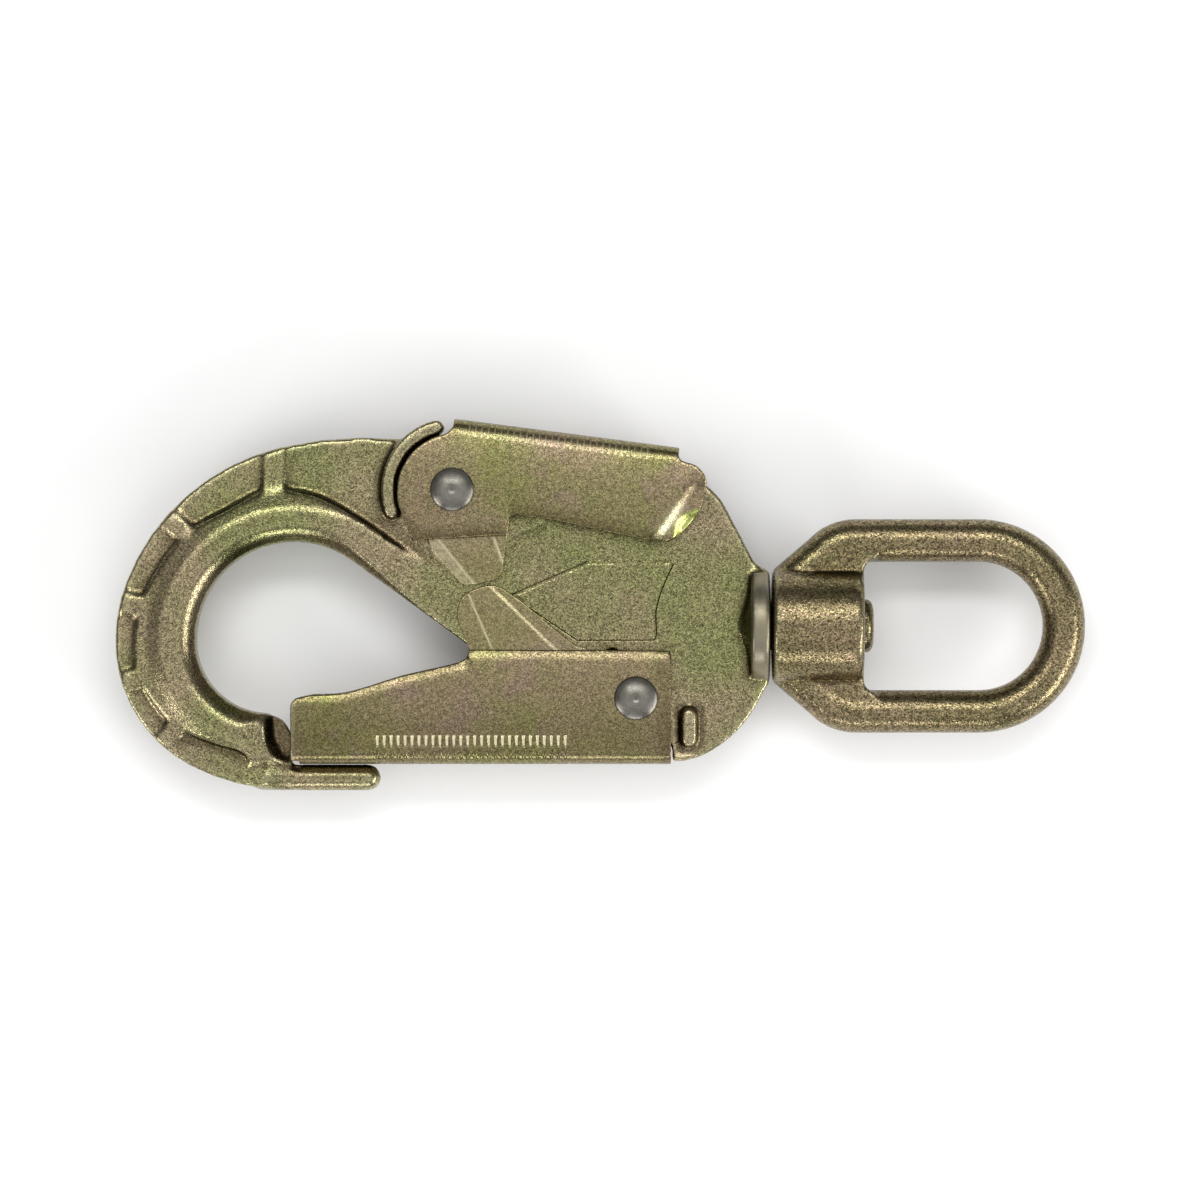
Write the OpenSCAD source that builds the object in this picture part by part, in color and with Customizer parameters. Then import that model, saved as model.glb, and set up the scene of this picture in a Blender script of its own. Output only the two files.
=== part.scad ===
// Swivel snap hook for a lanyard: a drop forged hook with a spring gate and a lock lever,
// both folded from steel sheet, and a forged eye that turns on the hook's shank.
// Millimetres. X runs along the hook from its nose to the eye, Y from the gate to the
// lever, and Z is across the thickness. The origin is on the swivel axis, in the middle
// of the thickness, where the hook's collar faces the eye. Both sides are alike.

/* [Forged hook] */
// Thickness of the forged plate between the sheet parts
plate_t = 8; // [7.2:0.1:8.4]
// Thickness of the thick rim around the bowl
rim_t = 14; // [12:0.2:14.2]
// Thickness over the short ribs at the hook's outer edge
rib_t = 8.8; // [8.4:0.1:9.6]
// Thickness of the pad under the lever's pivot
pad_t = 9.6; // [8.8:0.1:10]
// Thickness over the curved guard around the lever's end
guard_t = 13.6; // [10:0.2:13.8]
// Thickness over the stop lug beside the gate
lug_t = 12; // [10:0.2:13]
// Thickness of the tongue that enters the gate's mouth
tongue_t = 9.6; // [8:0.1:10.4]
// Height of the nose finger under the gate
finger_h = 5.8; // [5:0.1:6.2]
// Depth of the sunken panel beside the gate
panel_depth = 0.5; // [0.2:0.05:1]
// Radius that rounds the rim towards the bowl
rim_round = 6.4; // [5.8:0.1:7]

/* [Sheet parts] */
// Sheet thickness of the gate and of the lever
sheet = 2; // [1.6:0.05:2.2]
// Sheet thickness of the lock plate and of the pawl
inner_sheet = 1.3; // [1:0.05:1.6]
// Play between the forged plate and the lock plate on each side
side_gap = 0.3; // [0.2:0.05:0.5]
// Outer bend radius of the gate and the lever
bend_r = 3.4; // [2.6:0.1:4]
// Width of each grip groove
groove_w = 0.5; // [0.3:0.05:0.8]
// Depth of each grip groove
groove_d = 0.3; // [0.1:0.05:0.6]
// Number of grip grooves on the gate
gate_grooves = 28; // [10:1:30]
// Number of grip grooves on the lever
lever_grooves = 29; // [10:1:30]

/* [Rivets] */
// Shank diameter of both pivot rivets
rivet_d = 6.4; // [5.6:0.1:6.8]
// Head diameter of both pivot rivets
rivet_head_d = 9.8; // [9:0.1:10.6]
// Height of the domed rivet heads
rivet_head_h = 2.3; // [1.6:0.1:2.6]
// Wall thickness of the bushings in the forged plate
bushing_wall = 1; // [0.8:0.05:1.2]
// Radial play of everything that turns
turning_play = 0.05; // [0.03:0.01:0.08]

/* [Springs] */
// Wire diameter of the gate spring and the lever spring
wire_d = 1.2; // [1:0.05:1.3]
// Play between the bushing and the spring's coil
coil_play = 0.5; // [0.3:0.05:0.7]

/* [Swivel] */
// Diameter of the turned collar on the hook
collar_d = 25.3; // [24:0.1:25.6]
// Diameter of the eye's barrel
barrel_d = 25.8; // [25:0.1:27]
// Length of the eye's barrel
barrel_len = 20.6; // [20:0.1:21.5]
// Gap between the collar and the barrel
barrel_gap = 0.6; // [0.3:0.05:0.8]
// Diameter of the shank that the eye turns on
shank_d = 10; // [9:0.1:10.6]
// Diameter of the retaining collar on the shank's end
retainer_d = 12; // [11.6:0.1:13]
// Thickness of the thrust washer
washer_t = 1.2; // [1:0.1:1.6]
// Bar diameter of the bow
bow_bar_d = 9.7; // [9:0.1:10.5]
// Distance between the middle lines of the bow's two sides
bow_pitch = 38.6; // [37.6:0.1:40]
// Length from the collar to the middle of the bow's round end
bow_reach = 47; // [44:0.5:56]

/* [Hidden] */
$fn = 64;
tiny = 0.01;

olive = "#8f875c";
taupe = "#8d7f6a";
brass = "#857a58";
steel = "#9a9996";
bronze = "#a07c44";

// Levels through the thickness, each measured from the middle
plate_h = plate_t / 2;
inner_low = plate_h + side_gap;
inner_high = inner_low + inner_sheet;
gate_low = inner_high;
gate_high = gate_low + sheet;
pawl_low = inner_high + side_gap;
pawl_high = pawl_low + inner_sheet;
lever_low = pawl_high;
lever_high = lever_low + sheet;
high = 20;

// Pivots
gate_pivot = [-30.4, -16.2];
lever_pivot = [-71.7, 30.7];
lever_tilt = -7.35;
rivet_r = rivet_d / 2;
bushing_r = rivet_r + turning_play + bushing_wall;
coil_r = bushing_r + coil_play + wire_d / 2;
spring_room_r = coil_r + wire_d / 2 + 0.6;
coil_turns = 2;
coil_h = coil_turns * (wire_d + 0.05);
spring_floor = -(coil_h + wire_d) / 2 - 0.2;

// Directions of the springs' legs: one rests in the plate, the other on the sheet part
gate_leg_fixed = 90;
gate_leg_live = 232;
lever_leg_fixed = 300;
lever_leg_live = 70;

// Points along a chain of arcs and straight lines. Each step is [radius, degrees], where
// positive degrees turn left, or [0, length] for a straight line.
function step_end(at, dir, s) = s[0] == 0
    ? [at + s[1] * [cos(dir), sin(dir)], dir]
    : let (side = sign(s[1]), c = at + side * s[0] * [-sin(dir), cos(dir)], d = dir + s[1])
      [c + side * s[0] * [sin(d), -cos(d)], d];
function step_points(at, dir, s, parts) = s[0] == 0
    ? [at + s[1] * [cos(dir), sin(dir)]]
    : let (side = sign(s[1]), c = at + side * s[0] * [-sin(dir), cos(dir)])
      [for (i = [1:parts]) let (d = dir + s[1] * i / parts)
          c + side * s[0] * [sin(d), -cos(d)]];
function chain(at, dir, steps, i = 0) = i >= len(steps) ? [] :
    let (s = steps[i], n = max(2, ceil(abs(s[1]) / 7)), e = step_end(at, dir, s))
    concat(step_points(at, dir, s, n), chain(e[0], e[1], steps, i + 1));
function whole_chain(at, dir, steps) = concat([at], chain(at, dir, steps));
function backwards(p) = [for (i = [len(p) - 1:-1:0]) p[i]];

// The start and heading of one step within a chain
function state(at, dir, steps, k, i = 0) = i >= k ? [at, dir] :
    let (e = step_end(at, dir, steps[i])) state(e[0], e[1], steps, k, i + 1);

// A soft curve through points, with the given number of parts between two of them
function soft(p, n = 4) = [for (i = [0:len(p) - 2]) for (j = [0:n - 1])
    let (a = p[max(i - 1, 0)], b = p[i], c = p[i + 1], d = p[min(i + 2, len(p) - 1)], t = j / n)
    0.5 * (2 * b + t * (c - a) + t * t * (2 * a - 5 * b + 4 * c - d)
        + t * t * t * (3 * b - a - 3 * c + d))];

// Inner edge of the bowl, from the tongue round the left side to the end of the arm
bowl_at = [-113.16, -19.73];
bowl_dir = 180;
bowl_mid = [-113, 1];
bowl_steps = [[16.5, -90], [22.2, -126], [0, 32.8]];
bowl_edge = whole_chain(bowl_at, bowl_dir, bowl_steps);

// Outer edge of the hook, from the guard round the left side to the finger's underside
back_edge = whole_chain([-83.05, 42.09], 174.4,
    [[83.7, 19], [49.4, 55.6], [37.4, 19.9], [31.7, 63], [46.8, 27], [0, 17.8]]);
neck_top = whole_chain([-14.58, 31.78], -35.8, [[15, -26.7], [0, 12.7], [4.8, 50]]);
neck_bottom = whole_chain([-22.1, -30.6], 0, [[17, 30.3], [28.5, 36.3], [7.1, -48]]);
finger_top = -37.2 + finger_h;

module plate_outline() {
    polygon(concat(
        neck_bottom,
        backwards(neck_top),
        [[-18.9, 33.4], [-19.3, 25.6], [-55.7, 37], [-67.7, 41.2], [-74, 42.4]],
        back_edge,
        [[-91, -37.2], [-91, finger_top], [-113.4, finger_top]],
        bowl_edge,
        [[-67.9, -5.6], [-64.4, -14.7], [-36.4, -25.7], [-30, -26.6], [-22.1, -26.6]]
    ));
}

// Rim around the bowl, between the bowl's edge and this outer line
rim_outer = soft([
    [-69.8, 8.6], [-76.4, 12.9], [-82.1, 16.7], [-91.6, 23.3], [-101, 28.7], [-109.1, 30.5],
    [-114.3, 30.4], [-122.6, 26.1], [-129.6, 22.3], [-134.9, 17.4], [-139.8, 9.6],
    [-142.6, 2.4], [-143, -8.6], [-140.6, -14.8], [-136.1, -20.8], [-130.7, -24.4],
    [-125.1, -26.6], [-119.1, -28.4], [-116.6, -31.4], [-113.2, -36.4]
]);

module rim_outline() {
    polygon(concat(rim_outer, [[-113.2, -36.4]], bowl_edge, [[-67.9, -5.6], [-66, 2]]));
}

// Profile that is taken off the rim, measured from the bowl's edge: its inner corner is
// round, and outside its crown it slopes down to the ribs' outer ends
module rim_corner() {
    difference() {
        translate([-1, 0.9]) square([rim_round + 0.6, rim_t]);
        translate([rim_round - 0.4, 0.9 - (7 - rim_t / 2)]) circle(r = rim_round);
    }
    polygon([[7.4, rim_t / 2 + tiny], [11.4, plate_h + 1.3], [13, plate_h + 1], [32, rib_t / 2],
        [32, high], [7.4, high]]);
}

module rim_rounding() {
    // Written from the bowl's middle, so that the steps meet exactly
    translate(bowl_mid) for (i = [0:len(bowl_steps) - 1]) {
        s = bowl_steps[i];
        e = state(bowl_at - bowl_mid, bowl_dir, bowl_steps, i);
        d = e[1];
        if (s[0] > 0)
            translate(e[0] + s[0] * [sin(d), -cos(d)])
                rotate([0, 0, d + 90])
                    rotate_extrude(angle = s[1], $fn = 96)
                        translate([s[0], 0]) rim_corner();
        else
            // The straight step leans outwards a little, and starts within the arc
            translate(e[0]) rotate([0, 0, d + 1.2]) rotate([90, 0, 90]) translate([0, 0, -0.6])
                linear_extrude(s[1] + 4) rim_corner();
    }
}

module both_sides() {
    children();
    mirror([0, 0, 1]) children();
}

// Slope that brings the rim down to the plate along the arm
module arm_slope() {
    translate([0, 30, 0]) rotate([90, 0, 0]) linear_extrude(50)
        polygon([[-97, rim_t / 2 + tiny], [-77, plate_h], [-60, plate_h], [-60, high],
            [-97, high]]);
}

// Slopes that bring the rim's end down to the tongue and to the finger
module nose_slopes() {
    translate([0, -17, 0]) rotate([90, 0, 0]) linear_extrude(22)
        polygon([[-119.5, rim_t / 2 + tiny], [-112.4, tongue_t / 2], [-100, tongue_t / 2],
            [-100, high], [-119.5, high]]);
    translate([-120.5, 0, 0]) rotate([90, 0, 90]) linear_extrude(20)
        polygon([[-27, rim_t / 2 + tiny], [-35.4, finger_h / 2 + 0.2], [-40, finger_h / 2 + 0.2],
            [-40, high], [-27, high]]);
}

module rim() {
    difference() {
        translate([0, 0, -rim_t / 2]) linear_extrude(rim_t) {
            rim_outline();
            ribs_inside();
            polygon([[-117.5, -31.5], [-114, -36.2], [-113.4, -36.4], [-112.4, -31.6],
                [-112.4, -20.6], [-116.8, -20.3]]);
        }
        both_sides() rim_rounding();
        both_sides() arm_slope();
        both_sides() nose_slopes();
    }
}

// Short ribs between the pockets outside the rim
rib_lines = [
    [[-112.2, 29], [-111.8, 42]],
    [[-132, 21], [-140, 28]],
    [[-140, 4], [-150, 6.2]],
    [[-141, -11.3], [-150, -13.8]],
    [[-133.4, -22], [-140, -30]]
];
rib_w = [4.6, 4.2, 4.4, 4, 4];

module ribs() {
    for (i = [0:len(rib_lines) - 1]) {
        a = rib_lines[i][0];
        b = rib_lines[i][1];
        turn = atan2(b[1] - a[1], b[0] - a[0]);
        translate(a) rotate(turn) translate([0, -rib_w[i] / 2]) square([norm(b - a), rib_w[i]]);
    }
}

// The ribs end at the hook's outer edge
module ribs_inside() {
    intersection() {
        ribs();
        polygon(concat(back_edge, [[-91, -37.2], [-100, 0], [-83, 30]]));
    }
}

// Curved guard around the round end of the lever
guard_in = 12.9;
guard_out = 16.1;

module guard() {
    translate([lever_pivot[0], lever_pivot[1], -guard_t / 2]) {
        rotate([0, 0, 104]) rotate_extrude(angle = 96)
            translate([guard_in, 0]) square([guard_out - guard_in, guard_t]);
        for (a = [104, 200])
            rotate([0, 0, a]) translate([(guard_in + guard_out) / 2, 0, 0])
                cylinder(h = guard_t, d = guard_out - guard_in - 0.1);
    }
}

module pivot_pad() {
    translate([0, 0, -pad_t / 2]) linear_extrude(pad_t)
        polygon([[-82.8, 22.9], [-78.5, 18], [-74, 15.6], [-67, 15.6], [-59, 19.6], [-50.6, 23.2],
            [-50.6, 27], [-60, 31], [-66, 38.4], [-76, 38.4], [-82, 31]]);
}

// Rounded bar of the nose, and the tongue above it
module nose() {
    r = finger_h / 2;
    translate([-116, -37.2 + r, 0]) rotate([0, 90, 0]) cylinder(h = 25.2, r = r);
    translate([-90.8, -37.2 + r, 0]) sphere(r = r);
    translate([0, 0, -tongue_t / 2]) linear_extrude(tongue_t)
        polygon(concat([[-114, -36], [-113.6, -20.4]],
            chain([-112.8, -20.3], 0, [[4, -62], [0, 2.4], [8, -20]]),
            [[-108.7, finger_top - 0.6], [-110, -36]]));
}

module stop_lug() {
    for (y = [-20.2, -25.4])
        translate([-18.45, y, -lug_t / 2]) cylinder(h = lug_t, r = 1.8);
    translate([-20.24, -25.4, -lug_t / 2]) cube([3.58, 5.2, lug_t]);
}

// Sunken panel and the shallow place that the lug stands in
module sunken_places() {
    translate([0, 0, plate_h - panel_depth]) linear_extrude(high)
        polygon(concat([[-43.65, -3.2], [-58.7, 7], [-41.2, 14.6], [-22.6, 14.8]],
            soft([[-21.9, 14], [-24.6, 8], [-25.9, 2.9], [-25.7, -1.8], [-26.4, -3.2]], 3)));
    translate([0, 0, plate_h - panel_depth]) linear_extrude(high)
        polygon([[-22, -17.4], [-15, -17.4], [-14.4, -19], [-14.4, -28], [-15.6, -29.4],
            [-22, -29.4]]);
}

// Room in the plate for a coil spring and its two legs. The fixed leg lies in a slot, and
// the other one has a wider room, because it turns with the moving part.
module spring_room(centre, fixed_dir, fixed_len, live_dir, live_len, live_swing) {
    translate([centre[0], centre[1], spring_floor]) {
        cylinder(h = high, r = spring_room_r);
        rotate([0, 0, fixed_dir]) translate([0, coil_r - 0.75 * wire_d, 0])
            cube([fixed_len, 1.5 * wire_d, high]);
        for (a = [0, live_swing / 2, live_swing])
            rotate([0, 0, live_dir + a]) translate([0, -coil_r - 0.9 * wire_d, 0])
                cube([live_len, 1.9 * wire_d, high]);
    }
}

collar_r = collar_d / 2;
shank_r = shank_d / 2;
barrel_start = barrel_gap - 0.2;
bore_end = barrel_start + 12.6;
washer_at = bore_end + 0.15;
retainer_at = washer_at + washer_t + 0.15;
shank_end = barrel_start + barrel_len + 0.6;
retainer_r = retainer_d / 2;

// Collar with its curved run-out into the plate, and the shank
module swivel_shank() {
    flare = 9.2;
    rotate([0, 90, 0]) rotate([0, 0, 180]) mirror([0, 0, 1]) rotate_extrude(angle = 360)
        polygon(concat(
            [[0, -shank_end], [shank_r - 0.6, -shank_end], [shank_r, -shank_end + 0.6],
                [shank_r, 0.2], [collar_r - 0.5, 0.2], [collar_r, 0.7], [collar_r, 4.4]],
            [for (i = [1:7]) let (a = 90 * i / 8)
                [collar_r - flare * sin(a) * 0.95, 4.4 + 4 * (1 - cos(a))]],
            [[collar_r - flare, 9], [0, 9]]));
}

module hook_body() {
    color(olive) difference() {
        union() {
            difference() {
                translate([0, 0, -plate_h]) linear_extrude(plate_t) plate_outline();
                both_sides() sunken_places();
                // The finger is a round bar, so the plate gives way to it
                translate([-108, -40, -high]) cube([20, 40 + finger_top + 0.4, 2 * high]);
                // The plate ends within the collar
                translate([-0.4, -40, -high]) cube([20, 80, 2 * high]);
            }
            rim();
            guard();
            pivot_pad();
            nose();
            stop_lug();
            swivel_shank();
        }
        for (p = [gate_pivot, lever_pivot])
            translate([p[0], p[1], -high]) cylinder(h = 2 * high, r = bushing_r);
        spring_room(gate_pivot, gate_leg_fixed, 11, gate_leg_live, 20, -19);
        spring_room(lever_pivot, lever_leg_fixed, 11, lever_leg_live, 15, -12);
    }
}

// Cross-section of a folded channel that is open upwards: half width, depth, thickness
function bend(c, r, a0, a1) = [for (i = [0:6]) let (a = a0 + (a1 - a0) * i / 6)
    c + r * [cos(a), sin(a)]];
module channel_section(w, depth, t, r) {
    ri = max(r - t, 0.4);
    polygon(concat(
        [[w, depth]],
        backwards(bend([w - r, r], r, -90, 0)),
        backwards(bend([r - w, r], r, -180, -90)),
        [[-w, depth], [t - w, depth]],
        bend([t - w + ri, t + ri], ri, -180, -90),
        bend([w - t - ri, t + ri], ri, -90, 0),
        [[w - t, depth]]
    ));
}

// Gate: left end at the nose, long top edge, spine along the bottom
gate_base = -31.1;
gate_side = concat(
    [[-68, -5.3]], soft([[-68.2, -6.2], [-70.4, -8.2], [-82.8, -11.1], [-91.1, -13.7],
        [-97.2, -15.2], [-104.9, -15.5]], 3),
    [[-106.9, -16.2], [-108.1, -17.4], [-108.1, gate_base - 1], [-22.5, gate_base - 1]],
    chain([-22.5, -8], 90, [[0, 1.6], [0.9, 90]]));

module gate() {
    color(taupe) difference() {
        intersection() {
            translate([-110, gate_base, 0]) rotate([0, 90, 0]) linear_extrude(90)
                channel_section(gate_high, 30, sheet, bend_r);
            translate([0, 0, -high]) linear_extrude(2 * high) polygon(gate_side);
        }
        // The spine starts behind the tongue
        translate([-110, gate_base - 1, -gate_low]) cube([3.8, 4.6, 2 * gate_low]);
        translate([gate_pivot[0], gate_pivot[1], -high])
            cylinder(h = 2 * high, r = rivet_r + turning_play);
        both_sides() for (i = [0:gate_grooves - 1])
            translate([-88.9 + i * 1.565, -27, gate_high - groove_d])
                cube([groove_w, 2.5, sheet]);
    }
}

// Lock plate inside the gate, with the blocking tooth that stands above the gate
tooth = concat(
    soft([[-68, -5.2], [-69.5, -1.3], [-70.6, 1.8], [-70.6, 3.4], [-69.8, 6.1], [-68, 7.7],
        [-65.3, 8.8], [-63.2, 9.2], [-61, 8.8], [-58.7, 7.3], [-55.6, 5.2], [-49.6, 0.1],
        [-45.7, -3.1], [-43.6, -4.5], [-41.2, -5]], 2),
    [[-41.2, -5.6], [-25.2, -8], [-23.6, -10], [-23.6, -20], [-28, -24], [-44, -29.1],
        [-62, -29.1], [-66.6, -18]]);

module gate_lock_plate() {
    color(brass) difference() {
        intersection() {
            translate([-80, gate_base + sheet, 0]) rotate([0, 90, 0]) linear_extrude(70)
                channel_section(inner_high, 50, inner_sheet, bend_r - sheet + 0.2);
            translate([0, 0, -high]) linear_extrude(2 * high) polygon(tooth);
        }
        translate([gate_pivot[0], gate_pivot[1], -high])
            cylinder(h = 2 * high, r = rivet_r + turning_play);
    }
}

// Lever outline in its own frame: pivot at the origin, spine along +X at the top
lever_top = 15.9;
lever_side = concat(
    [[-1.6, 14.9], [-1.6, lever_top + 1], [49.5, lever_top + 1], [50.2, 13.7]],
    soft([[51.6, 12.7], [53.9, 12.2], [56.2, 9.9], [56.5, 6.7], [55.8, 2.6], [53.6, -1.4],
        [50.6, -4.7], [47.6, -5.6], [42.3, -5.5], [33.6, -4.85], [24.9, -4.05],
        [18.4, -3.9], [15.6, -3.8], [13.6, -4.8], [13, -6.4], [13.4, -8.7]], 3),
    [[13.4, -8.7], [-7.1, -12.5]],
    soft([[-7.6, -12.2], [-9.2, -9.3], [-11.5, -5], [-12.2, -2], [-12, 2.4], [-9.7, 7.4],
        [-6, 10.8], [-2.2, 12.7], [-1.6, 14.9]], 3));

module in_lever_frame() {
    translate([lever_pivot[0], lever_pivot[1], 0]) rotate([0, 0, lever_tilt]) children();
}

module lock_lever() {
    color(taupe) in_lever_frame() difference() {
        intersection() {
            translate([-20, lever_top, 0]) rotate([0, 90, 0]) mirror([0, 1, 0])
                linear_extrude(80) channel_section(lever_high, 40, sheet, bend_r);
            translate([0, 0, -high]) linear_extrude(2 * high) polygon(lever_side);
        }
        translate([0, 0, -high]) cylinder(h = 2 * high, r = rivet_r + turning_play);
        both_sides() for (i = [0:lever_grooves - 1])
            translate([1.9 + i * 1.44, 12.4, lever_high - groove_d])
                cube([groove_w, 2.3, sheet]);
    }
}

// Pawl inside the lever: its nose stands over the tooth, with a turned-down flange at the
// nose's left edge. On the real hook it blocks the tooth, and here it clears it at all angles
pawl_side = concat(
    [[-3, -14.2], [5.1, -21], [7.6, -20.5], [12.1, -19], [13.5, -17.3], [13.6, -9]],
    [[13.6, -2], [15.6, 4], [15.6, 13.9], [4.4, 13.9], [3, 7.6]],
    [for (a = [95:20:195]) 8 * [cos(a), sin(a)]]);

module lock_pawl() {
    color(brass) in_lever_frame() difference() {
        union() {
            intersection() {
                translate([-12, lever_top - sheet, 0]) rotate([0, 90, 0]) mirror([0, 1, 0])
                    linear_extrude(30)
                        channel_section(pawl_high, 50, inner_sheet, bend_r - sheet + 0.2);
                translate([0, 0, -high]) linear_extrude(2 * high) polygon(pawl_side);
            }
            both_sides() translate([0, 0, inner_low]) linear_extrude(pawl_high - inner_low - 0.2)
                polygon([[1.8, -18.25], [5.1, -21], [6.2, -20.8], [6.2, -19.6], [3, -17.1]]);
        }
        translate([0, 0, -high]) cylinder(h = 2 * high, r = rivet_r + turning_play);
    }
}

// Domed rivet through all the plates: half length between the heads
module rivet(grip) {
    head_r = rivet_head_d / 2;
    dome_r = (head_r * head_r + rivet_head_h * rivet_head_h) / (2 * rivet_head_h) * 1.35;
    cylinder(h = 2 * grip + 1, r = rivet_r, center = true);
    both_sides() translate([0, 0, grip]) rotate_extrude()
        polygon(concat([[0, 0], [head_r - 0.3, 0], [head_r, 0.3]],
            [for (i = [0:8]) let (r = head_r * (1 - i / 8))
                [r, rivet_head_h - dome_r + sqrt(dome_r * dome_r - r * r)]]));
}

// Sleeve that is pressed into the forged plate
module bushing(centre, half_len) {
    color(bronze) translate([centre[0], centre[1], -half_len]) difference() {
        cylinder(h = 2 * half_len, r = bushing_r);
        translate([0, 0, -1]) cylinder(h = 2 * half_len + 2, r = rivet_r + turning_play);
    }
}

// Wire along a path of points, as one closed skin
function across(a, b) = cross(a, b) / max(norm(cross(a, b)), 0.0001);
module wire(p, r, n = 8) {
    rings = [for (i = [0:len(p) - 1])
        let (t = p[min(i + 1, len(p) - 1)] - p[max(i - 1, 0)],
             u = across([0, 0, 1], t), v = across(t, u))
        for (k = [0:n - 1]) p[i] + r * (u * cos(360 * k / n) + v * sin(360 * k / n))];
    last = (len(p) - 1) * n;
    polyhedron(rings, concat(
        [[for (k = [0:n - 1]) k]],
        [[for (k = [n - 1:-1:0]) last + k]],
        [for (i = [0:len(p) - 2]) for (k = [0:n - 1])
            [i * n + k, (i + 1) * n + k, (i + 1) * n + (k + 1) % n, i * n + (k + 1) % n]]));
}

// Coil spring around a bushing, with two straight legs that leave it at a tangent
module coil_spring(centre, from_dir, to_dir, leg_a, leg_b) {
    sweep = coil_turns * 360 + (to_dir - from_dir) - 180;
    steps = ceil(sweep / 15);
    z0 = -coil_h / 2;
    coil = [for (i = [0:steps]) let (a = from_dir + 90 + sweep * i / steps)
        [coil_r * cos(a), coil_r * sin(a), z0 + coil_h * i / steps]];
    start = coil[0] + leg_a * [cos(from_dir), sin(from_dir), 0];
    finish = coil[steps] + leg_b * [cos(to_dir), sin(to_dir), 0];
    color(steel) translate([centre[0], centre[1], 0])
        wire(concat([start], coil, [finish]), wire_d / 2);
}

module gate_rivet() {
    color(steel) translate([gate_pivot[0], gate_pivot[1], 0]) rivet(gate_high + 0.1);
}
module lock_rivet() {
    color(steel) translate([lever_pivot[0], lever_pivot[1], 0]) rivet(lever_high + 0.1);
}
module gate_bushing() bushing(gate_pivot, inner_low - 0.1);
module lock_bushing() bushing(lever_pivot, pawl_low - 0.1);
module gate_spring() coil_spring(gate_pivot, gate_leg_fixed, gate_leg_live, 10, 18);
module lock_spring() coil_spring(lever_pivot, lever_leg_fixed, lever_leg_live, 10, 13.3);

// Eye: barrel, shoulders and bow
barrel_r = barrel_d / 2;
bar_r = bow_bar_d / 2;
bow_half = bow_pitch / 2;
web_h = bar_r - 0.5;
barrel_end = barrel_start + barrel_len;
shoulder_r = 9.8;
shoulder_x = 19.2;
shoulder_dir = 40.5;

module bow_side() {
    c = [shoulder_x, bow_half - shoulder_r];
    s = c + shoulder_r * [-sin(shoulder_dir), cos(shoulder_dir)];
    translate([shoulder_x, bow_half, 0]) rotate([0, 90, 0])
        cylinder(h = bow_reach - shoulder_x, r = bar_r);
    translate(c) rotate([0, 0, 90]) rotate_extrude(angle = shoulder_dir)
        translate([shoulder_r, 0]) circle(r = bar_r);
    // The straight slope reaches a little into the bend, and is a shade thinner
    translate(s) rotate([0, 0, shoulder_dir]) rotate([0, -90, 0]) translate([0, 0, -1])
        cylinder(h = 13, r = bar_r - 0.12);
}

module swivel_eye() {
    color(brass) difference() {
        union() {
            translate([barrel_start, 0, 0]) rotate([0, 90, 0]) rotate_extrude()
                polygon([[0, 0], [barrel_r - 1, 0], [barrel_r - 0.3, 0.3], [barrel_r, 1],
                    [barrel_r, barrel_len - 1.4], [barrel_r - 0.4, barrel_len - 0.4],
                    [barrel_r - 1.4, barrel_len], [0, barrel_len]]);
            bow_side();
            mirror([0, 1, 0]) bow_side();
            translate([bow_reach, 0, 0]) rotate([0, 0, -90]) rotate_extrude(angle = 180)
                translate([bow_half, 0]) circle(r = bar_r);
            // Flat webs that fill the corners between the barrel and the bow
            for (m = [0, 1]) mirror([0, m, 0]) translate([0, 0, -web_h])
                linear_extrude(2 * web_h)
                    polygon(concat([[4, 6], [5.4, 12.6], [13.6, 19.6], [19.4, 21], [27, 21]],
                        chain([27, 14.9], 180, [[0, 3.4], [2.6, 90]]),
                        [[barrel_end, 6]]));
        }
        rotate([0, 90, 0]) translate([0, 0, -1]) cylinder(h = 30, r = shank_r + turning_play);
        translate([bore_end, 0, 0]) rotate([0, 90, 0]) cylinder(h = 12, r = retainer_r + 0.3);
    }
}

module thrust_washer() {
    color(steel) translate([washer_at, 0, 0]) rotate([0, 90, 0]) difference() {
        cylinder(h = washer_t, r = retainer_r + 0.1);
        translate([0, 0, -1]) cylinder(h = washer_t + 2, r = shank_r + turning_play);
    }
}

// Collar that is pressed and peened on the shank's end, with a domed face
module shank_retainer() {
    len = barrel_end - retainer_at + 2.2;
    color(brass) translate([retainer_at, 0, 0]) rotate([0, 90, 0]) difference() {
        rotate_extrude() polygon(concat([[0, 0], [retainer_r - 0.3, 0], [retainer_r, 0.3]],
            [for (i = [0:6]) let (a = 90 * i / 6)
                [retainer_r - 2.2 + 2.2 * cos(a), len - 1.6 + 1.6 * sin(a)]],
            [[0, len + 0.2]]));
        translate([0, 0, -1]) cylinder(h = 1 + shank_end - retainer_at + 0.05, r = shank_r);
    }
}

hook_body();
gate();
gate_lock_plate();
gate_rivet();
gate_bushing();
gate_spring();
lock_lever();
lock_pawl();
lock_rivet();
lock_bushing();
lock_spring();
swivel_eye();
thrust_washer();
shank_retainer();
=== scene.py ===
"""Looks of the swivel snap hook. Shapes below are written in millimetres in the row frame."""
import math

import bmesh
import bpy
import numpy as np
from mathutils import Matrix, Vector, geometry


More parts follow.
